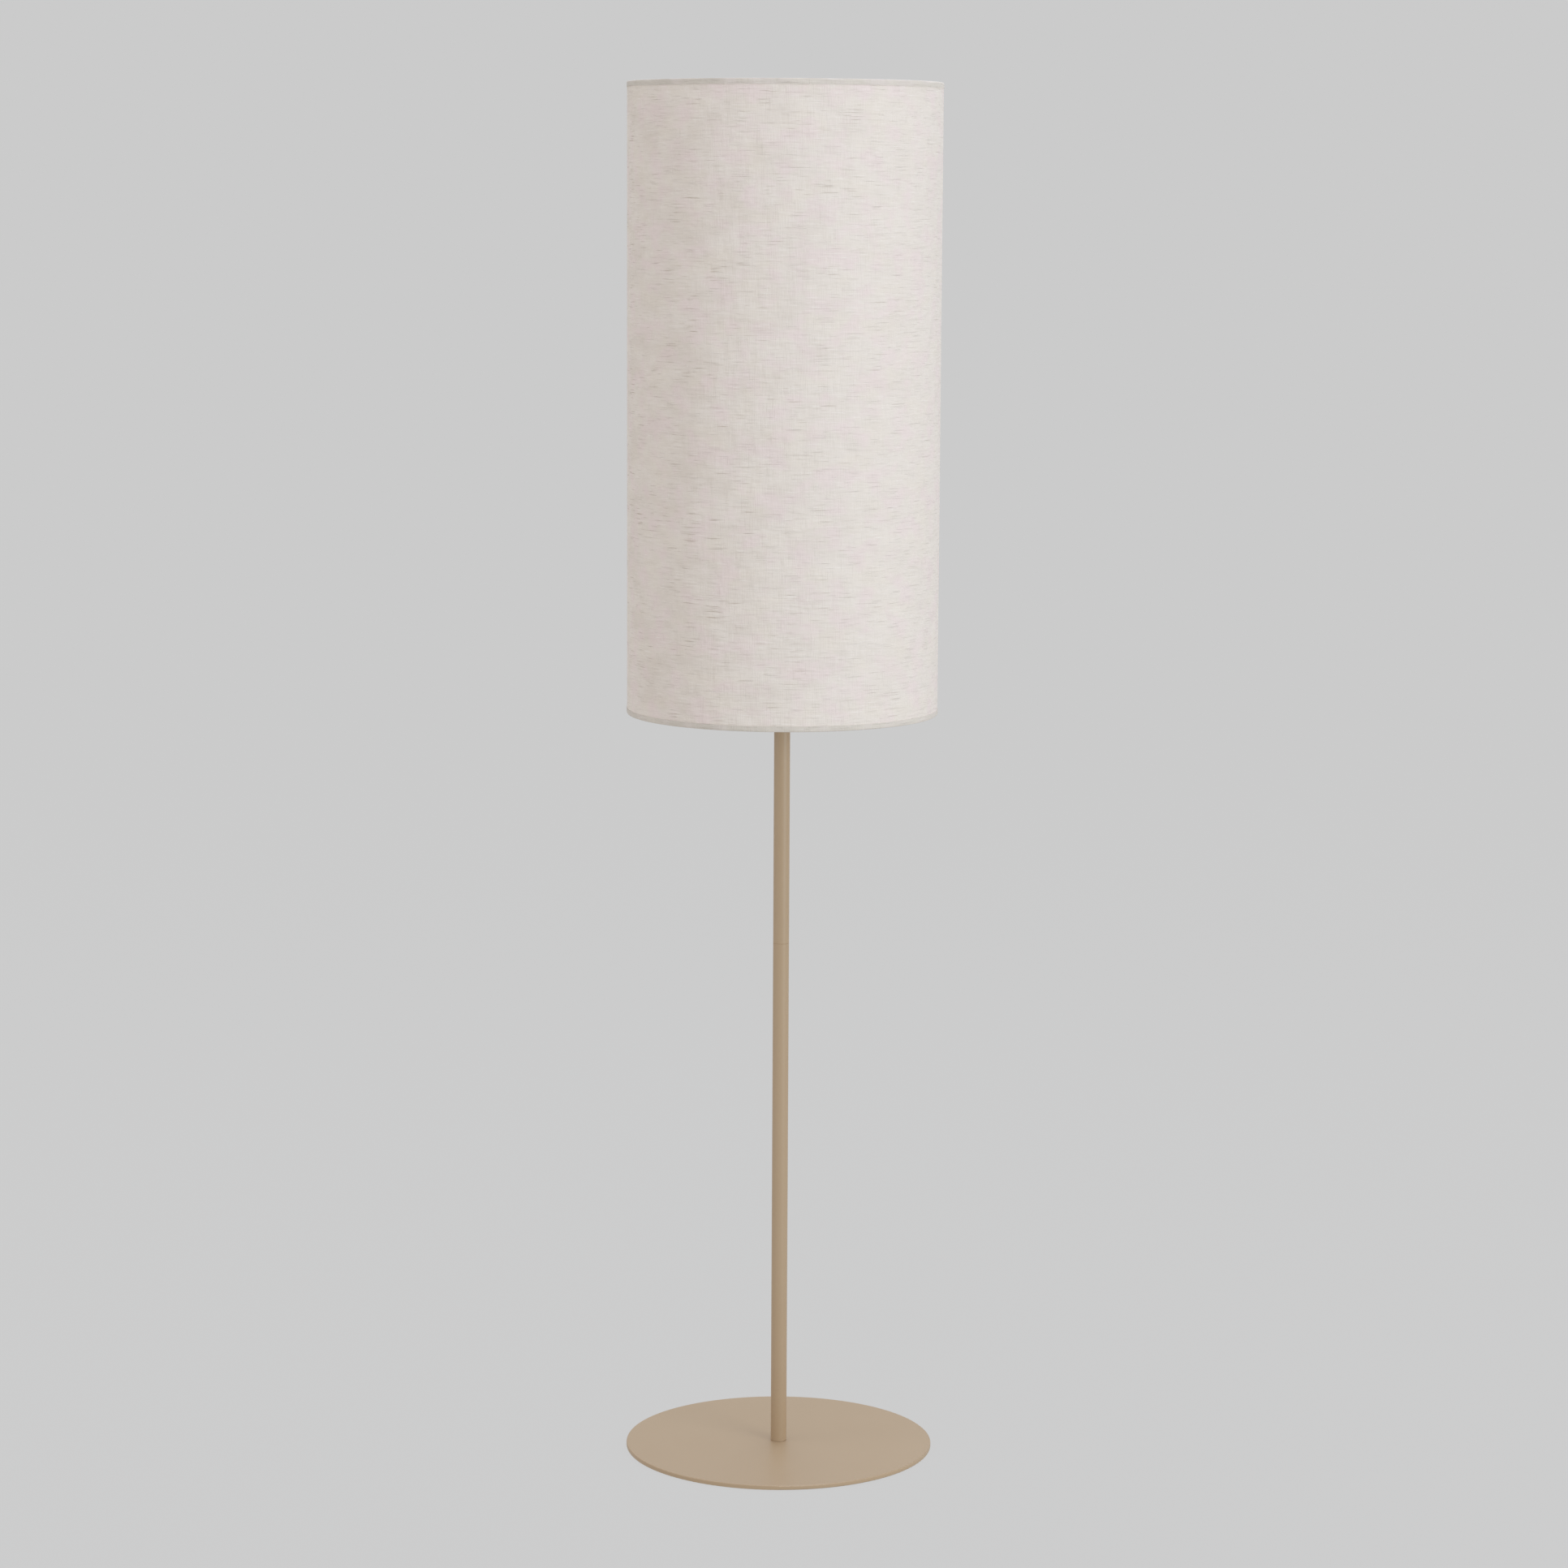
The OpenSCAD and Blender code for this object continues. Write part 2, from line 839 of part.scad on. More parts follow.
module bulb_tip() {
  bevel = 1;
  color(ZINC)
    rotate_extrude()
      polygon([
        [0, bulb_z],
        [tip_r - bevel, bulb_z],
        [tip_r, bulb_z + tip_h / 2],
        [tip_r, bulb_z + tip_h],
        [0, bulb_z + tip_h]
      ]);
}

base_plate();
floor_pads();
base_nipple();
base_washer();
base_nut();
foot_insert();
lower_tube();
cord_bush();
lower_joint_insert();
joint_nipple();
upper_joint_insert();
upper_tube();
head_insert();
head_nipple();
head_washer();
holder_cap();
holder_grub_screw();
holder_core();
terminal_screws();
centre_contact();
side_contact();
holder_skirt();
lower_shade_ring();
upper_shade_ring();
spider_ring();
spider_arm_a();
spider_arm_b();
spider_arm_c();
frame_strut_a();
frame_strut_b();
frame_strut_c();
frame_top_ring();
frame_bottom_ring();
shade_liner();
shade_cover();
top_hem();
bottom_hem();
bulb_globe();
bulb_collar();
bulb_cap();
bulb_insulator();
bulb_tip();
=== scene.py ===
import math

import bpy
import numpy as np
from mathutils import Matrix, Vector


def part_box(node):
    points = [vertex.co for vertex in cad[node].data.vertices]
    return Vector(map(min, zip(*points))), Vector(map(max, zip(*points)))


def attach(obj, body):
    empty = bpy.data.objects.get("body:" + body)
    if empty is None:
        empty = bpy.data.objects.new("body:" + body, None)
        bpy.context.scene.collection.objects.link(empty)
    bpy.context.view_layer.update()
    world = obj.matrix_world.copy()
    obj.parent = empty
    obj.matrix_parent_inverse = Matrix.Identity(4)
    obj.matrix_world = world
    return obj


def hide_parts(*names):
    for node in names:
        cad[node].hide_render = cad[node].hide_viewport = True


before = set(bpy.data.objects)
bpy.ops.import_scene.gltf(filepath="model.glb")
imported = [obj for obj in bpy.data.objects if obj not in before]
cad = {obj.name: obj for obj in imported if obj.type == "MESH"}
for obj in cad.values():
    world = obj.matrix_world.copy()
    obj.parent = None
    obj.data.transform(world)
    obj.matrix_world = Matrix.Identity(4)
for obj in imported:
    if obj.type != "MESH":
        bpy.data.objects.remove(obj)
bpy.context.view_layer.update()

# --- Camera ------------------------------------------------------------------------------
# A long lens at chest height, 4.67 m in front of the lamp and tilted 8 degrees down. The
# picture leans by a third of a degree, as the photograph does.
photo_px = 1932
focal_px = 5159.5
camera_data = bpy.data.cameras.new("studio_camera")
camera_data.sensor_width = 36
camera_data.lens = focal_px / photo_px * camera_data.sensor_width
camera = bpy.data.objects.new("studio_camera", camera_data)
bpy.context.scene.collection.objects.link(camera)
camera_place = (0.0024, -4.673, 1.4317)
camera_pitch = math.radians(8.07)
camera_roll = math.radians(0.3)
camera.matrix_world = (
    Matrix.Translation(camera_place)
    @ Matrix.Rotation(math.pi / 2 - camera_pitch, 4, "X")
    @ Matrix.Rotation(camera_roll, 4, "Z")
)
bpy.context.scene.camera = camera
bpy.context.scene.view_settings.view_transform = "Standard"

# --- Floor -------------------------------------------------------------------------------
# A pale studio floor that runs out to the horizon and has the tone of the air above it. It
# glows by itself, so the lamp's shadow on it stays faint, and it is clear from below.


def linear(hex_colour):
    """An sRGB hex colour as linear red, green, blue and alpha."""
    values = [int(hex_colour[i:i + 2], 16) / 255 for i in (1, 3, 5)]
    return [v / 12.92 if v <= 0.04045 else ((v + 0.055) / 1.055) ** 2.4 for v in values] + [1.0]


def material(name):
    """A new material and its empty node tree."""
    made = bpy.data.materials.new(name)
    made.use_nodes = True
    made.node_tree.nodes.clear()
    return made, made.node_tree


def add(tree, kind, settings=None, links=None):
    """Adds a shader node. A setting is an option of the node or the value of one of its sockets."""
    node = tree.nodes.new("ShaderNode" + kind)
    for key, value in (settings or {}).items():
        if isinstance(key, str) and hasattr(node, key):
            setattr(node, key, value)
        else:
            node.inputs[key].default_value = value
    for key, socket in (links or {}).items():
        tree.links.new(socket, node.inputs[key])
    return node


def show(tree, shader):
    """Makes a shader the surface of its material."""
    add(tree, "OutputMaterial", None, {"Surface": shader.outputs[0]})


def mesh_object(name, points, faces):
    """A smooth object made of points in metres and of faces as lists of point numbers."""
    mesh = bpy.data.meshes.new(name)
    mesh.from_pydata([tuple(p) for p in points], [], [tuple(f) for f in faces])
    mesh.shade_smooth()
    made = bpy.data.objects.new(name, mesh)
    bpy.context.scene.collection.objects.link(made)
    return made


backdrop = linear("#CBCBCB")
floor_finish, tree = material("pale_studio_floor")
glow = add(tree, "Emission", {"Color": backdrop, "Strength": 0.975})
paint = add(tree, "BsdfDiffuse", {"Color": linear("#2C2C2C")})
lit = add(tree, "AddShader", None, {0: glow.outputs[0], 1: paint.outputs[0]})
clear = add(tree, "BsdfTransparent")
side = add(tree, "NewGeometry")
seen = add(
    tree, "MixShader", None,
    {0: side.outputs["Backfacing"], 1: lit.outputs[0], 2: clear.outputs[0]},
)
show(tree, seen)
floor_steps = 64
floor_turns = [2 * math.pi * i / floor_steps for i in range(floor_steps)]
floor_rings = [0.6, 3.0, 15.0, 60.0]
floor_points = [(0, 0, 0)] + [
    (r * math.cos(a), r * math.sin(a), 0) for r in floor_rings for a in floor_turns
]
floor_faces = []
for i in range(floor_steps):
    j = (i + 1) % floor_steps
    floor_faces.append((0, 1 + i, 1 + j))
    for ring in range(len(floor_rings) - 1):
        inner, outer = 1 + floor_steps * ring, 1 + floor_steps * (ring + 1)
        floor_faces.append((inner + i, outer + i, outer + j, inner + j))
floor = mesh_object("studio_floor", floor_points, floor_faces)
floor.data.materials.append(floor_finish)

# --- Studio light ------------------------------------------------------------------------
# Even light from a pale grey room, daylight from a large window on the right in front of the
# lamp, a warmer white wall on its left and two skylights above.
world = bpy.data.worlds.new("pale_room")
world.use_nodes = True
world.node_tree.nodes["Background"].inputs["Color"].default_value = backdrop
bpy.context.scene.world = world


def soft_box(name, place, aim, size, watts, colour):
    """A soft light of that width and height which stands at place and points at aim."""
    data = bpy.data.lights.new(name, "AREA")
    data.shape = "RECTANGLE"
    data.size, data.size_y = size
    data.energy = watts
    data.color = colour
    made = bpy.data.objects.new(name, data)
    bpy.context.scene.collection.objects.link(made)
    made.location = place
    made.rotation_mode = "QUATERNION"
    made.rotation_quaternion = (Vector(aim) - Vector(place)).to_track_quat("-Z", "Y")


soft_box("window", (2.4, -2.4, 1.1), (0, 0, 1.0), (1.8, 1.6), 43, (0.90, 1.0, 1.08))
soft_box("white_wall", (-3.9, -1.0, 1.3), (0, 0, 1.0), (2.4, 2.2), 21, (1.04, 1.0, 0.96))
soft_box("skylight", (0.3, -0.8, 3.7), (0, 0, 0.4), (2.4, 2.4), 23, (0.98, 1.0, 1.16))
soft_box("rear_skylight", (0.2, 1.6, 3.2), (0, 0, 0.4), (2.2, 2.2), 29, (0.86, 1.0, 1.16))

# --- Base plate and column ---------------------------------------------------------------
# Laser cut steel plate and two drawn steel tubes, powder coated together in sand beige. The
# baked powder has a satin skin with a faint orange peel and a fine grain.
MM = 0.001


def set_finish(finish, *names):
    """Gives CAD nodes a finish in place of their plain one."""
    for name in names:
        cad[name].data.materials.clear()
        cad[name].data.materials.append(finish)


def noise(tree, place, size_mm, detail=2.0):
    """Noise whose patches measure about that many millimetres."""
    return add(
        tree, "TexNoise", {"Scale": 1000 / size_mm, "Detail": detail},
        {"Vector": place.outputs["Object"]},
    )


def two_tones(tree, share, dark, light):
    """A colour between two, by the share that a socket gives."""
    return add(
        tree, "Mix", {"data_type": "RGBA", 6: linear(dark), 7: linear(light)}, {0: share}
    )


def bumps(tree, height, depth_mm, strength, under=None):
    """Relief of that depth, on top of the relief under it."""
    links = {"Height": height}
    if under:
        links["Normal"] = under.outputs[0]
    return add(tree, "Bump", {"Strength": strength, "Distance": depth_mm * MM}, links)


powder_coat, tree = material("powder_coated_steel_satin_sand")
place = add(tree, "TexCoord")
tone = two_tones(tree, noise(tree, place, 110).outputs["Fac"], "#B1987A", "#B59D80")
peel = bumps(tree, noise(tree, place, 2.2, 1.0).outputs["Fac"], 0.2, 0.12)
grain = bumps(tree, noise(tree, place, 0.5).outputs["Fac"], 0.08, 0.12, peel)
coat = add(
    tree, "BsdfPrincipled", {"Roughness": 0.42, "IOR": 1.5},
    {"Base Color": tone.outputs[2], "Normal": grain.outputs[0]},
)
show(tree, coat)
set_finish(powder_coat, "base_plate", "lower_tube", "upper_tube")

# --- Felt pads ---------------------------------------------------------------------------
# Six punched discs of grey wool felt, glued under the plate. Pressed fibres leave it dull,
# flecked and slightly hairy.
felt, tree = material("pressed_wool_felt_grey")
place = add(tree, "TexCoord")
fibres = noise(tree, place, 0.35, 6.0)
tone = two_tones(tree, fibres.outputs["Fac"], "#3B3835", "#6C6863")
fuzz = bumps(tree, fibres.outputs["Fac"], 0.3, 0.6)
wool = add(
    tree, "BsdfPrincipled", {"Roughness": 1.0, "Sheen Weight": 0.4, "Sheen Roughness": 0.6},
    {"Base Color": tone.outputs[2], "Normal": fuzz.outputs[0]},
)
show(tree, wool)
set_finish(felt, "floor_pads")

# --- Threaded fittings -------------------------------------------------------------------
# Turned steel nipples, welded inserts, washers, nut and grub screw, all zinc plated. The
# plating is bright but cloudy, and its edges are rounded by the turning.


def soft_edges(tree, radius_mm, under=None):
    """Normals as if the edges were rounded to that radius."""
    return add(
        tree, "Bevel", {"samples": 4, "Radius": radius_mm * MM},
        {"Normal": under.outputs[0]} if under else None,
    )


zinc, tree = material("zinc_plated_turned_steel")
place = add(tree, "TexCoord")
cloud = noise(tree, place, 6, 3.0)
tone = two_tones(tree, cloud.outputs["Fac"], "#A3A6A9", "#C4C5C3")
dull = add(tree, "MapRange", {"To Min": 0.24, "To Max": 0.42}, {"Value": cloud.outputs["Fac"]})
plated = add(
    tree, "BsdfPrincipled", {"Metallic": 1.0},
    {
        "Base Color": tone.outputs[2], "Roughness": dull.outputs[0],
        "Normal": soft_edges(tree, 0.25).outputs[0],
    },
)
show(tree, plated)
set_finish(
    zinc, "base_nipple", "base_washer", "base_nut", "foot_insert", "lower_joint_insert",
    "joint_nipple", "upper_joint_insert", "head_insert", "head_nipple", "head_washer",
    "holder_grub_screw",
)

# --- Cord bush ---------------------------------------------------------------------------
# A nylon bush snapped into the back of the lower tube, with a slot for a flat cord. It is
# moulded in the colour of the paint, but duller, with a soft sheen on its rounded edges.
nylon, tree = material("moulded_nylon_sand")
place = add(tree, "TexCoord")
cloud = noise(tree, place, 1.4)
tone = two_tones(tree, cloud.outputs["Fac"], "#AD9576", "#B39C7E")
relief = bumps(tree, cloud.outputs["Fac"], 0.1, 0.15, soft_edges(tree, 0.3))
bush = add(
    tree, "BsdfPrincipled", {"Roughness": 0.55, "IOR": 1.53},
    {"Base Color": tone.outputs[2], "Normal": relief.outputs[0]},
)
show(tree, bush)
set_finish(nylon, "cord_bush")

# --- Lampholder housing ------------------------------------------------------------------
# Cap, skirt and the two ring nuts, injection moulded in white heat-proof plastic. The mould
# leaves a fine spark texture that turns the gloss into a soft satin.
holder_white, tree = material("moulded_polyester_white_satin")
place = add(tree, "TexCoord")
spark = noise(tree, place, 0.4)
tone = two_tones(tree, spark.outputs["Fac"], "#E2DFD8", "#EBE8E2")
relief = bumps(tree, spark.outputs["Fac"], 0.08, 0.12, soft_edges(tree, 0.35))
plastic = add(
    tree, "BsdfPrincipled", {"Roughness": 0.42, "IOR": 1.54},
    {"Base Color": tone.outputs[2], "Normal": relief.outputs[0]},
)
show(tree, plastic)
set_finish(holder_white, "holder_cap", "lower_shade_ring", "upper_shade_ring")

# --- Lampholder skirt --------------------------------------------------------------------
# The skirt is moulded with a coarse round thread outside for the ring nuts, and with the
# bulb's own thread in its inner sleeve.


def thread(height, turn, pitch, depth, low, high):
    """Depth of a round thread at a height and turn. It runs out over half a pitch at its ends."""
    wave = 0.5 - 0.5 * np.cos(2 * math.pi * height / pitch - turn)
    ends = np.clip((height - low) / (pitch / 2), 0, 1) * np.clip((high - height) / (pitch / 2), 0, 1)
    return depth * wave * ends


def turned(name, outline, threads, steps=192):
    """A closed section turned round the column's axis. outline has radius and height of its
    corners in mm; threads says for a side's number: pitch, depth inwards, first and last height."""
    turn = np.linspace(0, 2 * math.pi, steps, endpoint=False)
    rows = []
    for side, (start, end) in enumerate(zip(outline, outline[1:] + outline[:1])):
        pitch, depth, low, high = threads.get(side, (1, 0, 0, 0))
        count = max(1, round(abs(end[1] - start[1]) / pitch * 9)) if side in threads else 1
        for k in range(count):
            r = start[0] + (end[0] - start[0]) * k / count
            z = start[1] + (end[1] - start[1]) * k / count
            cut = thread(z, turn, pitch, depth, low, high) if side in threads else 0 * turn
            rows.append(np.stack(
                [(r - cut) * np.cos(turn), (r - cut) * np.sin(turn), np.full(steps, z)], axis=1
            ))
    points = np.concatenate(rows) * MM
    faces = []
    for row in range(len(rows)):
        here, there = row * steps, (row + 1) % len(rows) * steps
        for i in range(steps):
            j = (i + 1) % steps
            faces.append((here + i, here + j, there + j, there + i))
    made = mesh_object(name, points, faces)
    made.data.set_sharp_from_angle(angle=math.radians(40))
    return made


skirt_low, skirt_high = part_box("holder_skirt")
skirt_r = skirt_high.x / MM
skirt_foot = skirt_low.z / MM
skirt_top = skirt_high.z / MM
socket_r = 14.2
hole_r, foot_r = 14.6, 16.2
skirt_floor = skirt_foot + 4
skirt_section = [
    (hole_r, skirt_foot), (foot_r, skirt_foot), (foot_r, skirt_floor), (skirt_r - 0.4, skirt_floor),
    (skirt_r, skirt_floor + 0.4), (skirt_r, skirt_top - 0.6), (skirt_r - 0.6, skirt_top),
    (socket_r + 0.6, skirt_top), (socket_r, skirt_top - 0.6), (socket_r, skirt_floor + 6),
    (socket_r + 1.6, skirt_floor + 6), (socket_r + 1.6, skirt_top - 2.2),
    (skirt_r - 1.8, skirt_top - 2.2), (skirt_r - 1.8, skirt_floor + 1.8),
    (hole_r, skirt_floor + 1.8),
]
outer_thread = (2.5, 0.8, skirt_floor + 1, skirt_top - 2)
bulb_thread = (3.63, -0.9, skirt_floor + 7, skirt_top - 1.5)
skirt = turned("holder_skirt_threaded", skirt_section, {4: outer_thread, 8: bulb_thread})
skirt.data.materials.append(holder_white)
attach(skirt, "stand")
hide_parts("holder_skirt")

# --- Ceramic core ------------------------------------------------------------------------
# Pressed and fired steatite that carries the contacts. It is unglazed, so it is creamy,
# dense and dull.
steatite, tree = material("fired_steatite_unglazed")
place = add(tree, "TexCoord")
cloud = noise(tree, place, 2.5, 4.0)
tone = two_tones(tree, cloud.outputs["Fac"], "#E8E1D4", "#F2EEE6")
relief = bumps(tree, cloud.outputs["Fac"], 0.1, 0.1, soft_edges(tree, 0.4))
fired = add(
    tree, "BsdfPrincipled", {"Roughness": 0.6, "IOR": 1.6},
    {"Base Color": tone.outputs[2], "Normal": relief.outputs[0]},
)
show(tree, fired)
set_finish(steatite, "holder_core")

# --- Contacts and terminals --------------------------------------------------------------
# Stamped spring brass strips and two terminal screws. The rolled sheet tarnishes a little,
# so its shine is uneven.
brass, tree = material("rolled_brass_plain")
place = add(tree, "TexCoord")
cloud = noise(tree, place, 3.3, 3.0)
tone = two_tones(tree, cloud.outputs["Fac"], "#C39A4B", "#DBB96F")
dull = add(tree, "MapRange", {"To Min": 0.22, "To Max": 0.4}, {"Value": cloud.outputs["Fac"]})
strip = add(
    tree, "BsdfPrincipled", {"Metallic": 1.0},
    {
        "Base Color": tone.outputs[2], "Roughness": dull.outputs[0],
        "Normal": soft_edges(tree, 0.1).outputs[0],
    },
)
show(tree, strip)
set_finish(brass, "centre_contact", "side_contact", "terminal_screws")

# --- Shade frame -------------------------------------------------------------------------
# Steel wire rings, struts and arms spot welded together and dipped in white epoxy. The coat
# is smooth and half glossy, and swells a little over the welds.
coated_wire, tree = material("epoxy_coated_wire_white")
place = add(tree, "TexCoord")
cloud = noise(tree, place, 3.8)
tone = two_tones(tree, cloud.outputs["Fac"], "#D9D6CF", "#E5E2DC")
relief = bumps(tree, cloud.outputs["Fac"], 0.2, 0.2, soft_edges(tree, 0.3))
epoxy = add(
    tree, "BsdfPrincipled", {"Roughness": 0.35, "IOR": 1.5},
    {"Base Color": tone.outputs[2], "Normal": relief.outputs[0]},
)
show(tree, epoxy)
set_finish(
    coated_wire, "spider_ring", "spider_arm_a", "spider_arm_b", "spider_arm_c",
    "frame_strut_a", "frame_strut_b", "frame_strut_c", "frame_top_ring", "frame_bottom_ring",
)

# --- Weld beads --------------------------------------------------------------------------
# Small beads where the arms lie under the centre ring, clear of the ring nut, and where they
# meet the struts. The epoxy fills their corners, so they read as soft lumps.
spoke_turns = [math.pi / 2 + i * 2 * math.pi / 3 for i in range(3)]
arm_low, arm_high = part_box("spider_arm_a")
ring_low, ring_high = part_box("spider_ring")
wire_r = 1.5 * MM
arm_z = ring_low.z - wire_r
strut_r = arm_high.y + wire_r
bead_rings, bead_steps = 12, 24
bead_points, bead_faces = [], []


def bead(centre_r, centre_z, size, turn):
    """An egg-shaped lump with a slightly uneven skin; size is along, across and up."""
    first = len(bead_points)
    for i in range(bead_rings + 1):
        polar = math.pi * i / bead_rings
        for j in range(bead_steps):
            around = 2 * math.pi * j / bead_steps
            swell = 1 + 0.05 * math.sin(3 * around + 2 * polar)
            x = centre_r + size[0] * math.cos(polar) * swell
            y = size[1] * math.sin(polar) * math.cos(around) * swell
            z = centre_z + size[2] * math.sin(polar) * math.sin(around) * swell
            bead_points.append((
                x * math.cos(turn) - y * math.sin(turn), x * math.sin(turn) + y * math.cos(turn), z
            ))
    for i in range(bead_rings):
        for j in range(bead_steps):
            k = (j + 1) % bead_steps
            a, b = first + i * bead_steps, first + (i + 1) * bead_steps
            bead_faces.append((a + j, b + j, b + k, a + k))


for turn in spoke_turns:
    bead(ring_high.x - 3.0 * MM, arm_z + 1.1 * MM, (2.6 * MM, 2.1 * MM, 0.75 * MM), turn)
    bead(arm_low.y + 1.0 * MM, arm_z + 1.1 * MM, (1.5 * MM, 2.0 * MM, 0.7 * MM), turn)
    bead(strut_r - 1.6 * MM, arm_z, (1.4 * MM, 2.0 * MM, 2.0 * MM), turn)
beads = mesh_object("frame_weld_beads", bead_points, bead_faces)
beads.data.materials.append(coated_wire)
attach(beads, "shade")

# --- Shade liner -------------------------------------------------------------------------
# Stiff film that the linen is laminated to, matt and milky. A real one lets light through and
# this one is opaque; its white is made paler to stand in for that light, which is painted light.
# A strip of satin tape joins its edges at the back, inside.
film, tree = material("calendered_film_matt_white")
place = add(tree, "TexCoord")
cloud = noise(tree, place, 17, 3.0)
tone = two_tones(tree, cloud.outputs["Fac"], "#F2EFE9", "#F7F5F0")
relief = bumps(tree, noise(tree, place, 1.1).outputs["Fac"], 0.1, 0.15)
sheet_film = add(
    tree, "BsdfPrincipled", {"Roughness": 0.55, "IOR": 1.53},
    {"Base Color": tone.outputs[2], "Normal": relief.outputs[0]},
)
show(tree, sheet_film)
set_finish(film, "shade_liner")


def sharp_rim(made):
    """Marks a sheet's free edges as sharp, so that its cut edge isn't shaded as if it were round."""
    edges = np.empty(len(made.data.loops), dtype=np.int32)
    made.data.loops.foreach_get("edge_index", edges)
    free = np.bincount(edges, minlength=len(made.data.edges)) == 1
    mark = made.data.attributes.new("sharp_edge", "BOOLEAN", "EDGE")
    mark.data.foreach_set("value", free)


def grid_object(name, rows, thick, offset):
    """A sheet through rows of points, made that thick on its inner (-1) or outer (1) side."""
    rows = np.array(rows)
    down, along = rows.shape[:2]
    number = np.arange(down * along).reshape(down, along)
    faces = np.stack(
        [number[:-1, :-1], number[:-1, 1:], number[1:, 1:], number[1:, :-1]], axis=-1
    ).reshape(-1, 4)
    made = mesh_object(name, rows.reshape(-1, 3), faces.tolist())
    solid = made.modifiers.new("thickness", "SOLIDIFY")
    solid.thickness = thick
    solid.offset = offset
    sharp_rim(made)
    return made


def band(radius, start, end, low, high, steps, rises):
    """Rows of points on a cylinder between two turns in radians and two heights."""
    turns = np.linspace(start, end, steps + 1)
    return [
        np.stack([radius * np.cos(turns), radius * np.sin(turns), np.full(steps + 1, z)], axis=1)
        for z in np.linspace(low, high, rises + 1)
    ]


liner_low, liner_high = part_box("shade_liner")
film_thick = 0.4 * MM
liner_in = liner_high.x - film_thick
tape_half = 9 * MM / liner_in
tape_aside = 25 * MM
tape_short = 18 * MM
tape_thick = 0.08 * MM
glue_gap = 0.02 * MM
tape_turn = math.pi / 2 + tape_aside / liner_in
tape, tree = material("polyester_tape_satin")
place = add(tree, "TexCoord")
tone = two_tones(tree, noise(tree, place, 9).outputs["Fac"], "#EBE8DF", "#EFECE4")
foil = add(tree, "BsdfPrincipled", {"Roughness": 0.3, "IOR": 1.57}, {"Base Color": tone.outputs[2]})
show(tree, foil)
joint_tape = grid_object(
    "liner_joint_tape",
    band(
        liner_in - glue_gap, tape_turn - tape_half, tape_turn + tape_half,
        liner_low.z + tape_short, liner_high.z - tape_short, 8, 40,
    ),
    tape_thick, -1,
)
joint_tape.data.materials.append(tape)
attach(joint_tape, "shade")

# --- Linen cover -------------------------------------------------------------------------
# Undyed linen in plain weave, stretched over the film and lapped at the back. The yarn is
# uneven: slubs lie in the cloth, mostly across, and the natural flax is mottled. Painted shade
# darkens its left side.
cover_low, cover_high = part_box("shade_cover")
cover_r = 174.4 * MM
cloth_thick = 0.6 * MM
lap_width = 12 * MM
lap_rise = 0.5 * MM


def yarns(tree, surface, length_mm, thick_mm, across, seed, detail=1.0):
    """Noise drawn out along the yarns that run across the cloth, or else up it."""
    by_length, by_thickness = 1000 / length_mm, 1000 / thick_mm
    scale = (by_length, by_thickness, 1) if across else (by_thickness, by_length, 1)
    drawn = add(
        tree, "VectorMath",
        {"operation": "MULTIPLY_ADD", 1: scale, 2: (seed, seed * 1.7, 0)},
        {0: surface.outputs[0]},
    )
    return add(tree, "TexNoise", {"Scale": 1.0, "Detail": detail}, {"Vector": drawn.outputs[0]})


def between(tree, socket, low, high, top=1.0):
    """The part of a value between low and high, stretched to run from 0 to top."""
    return add(
        tree, "MapRange", {"From Min": low, "From Max": high, "To Max": top}, {"Value": socket}
    )


def over(tree, share, below, colour):
    """A colour laid over another by a share."""
    return add(
        tree, "Mix", {"data_type": "RGBA", 7: linear(colour)},
        {0: share.outputs[0], 6: below.outputs[2]},
    )


def times(tree, share, other):
    """The product of two shares."""
    return add(
        tree, "Math", {"operation": "MULTIPLY"}, {0: share.outputs[0], 1: other.outputs[0]}
    )


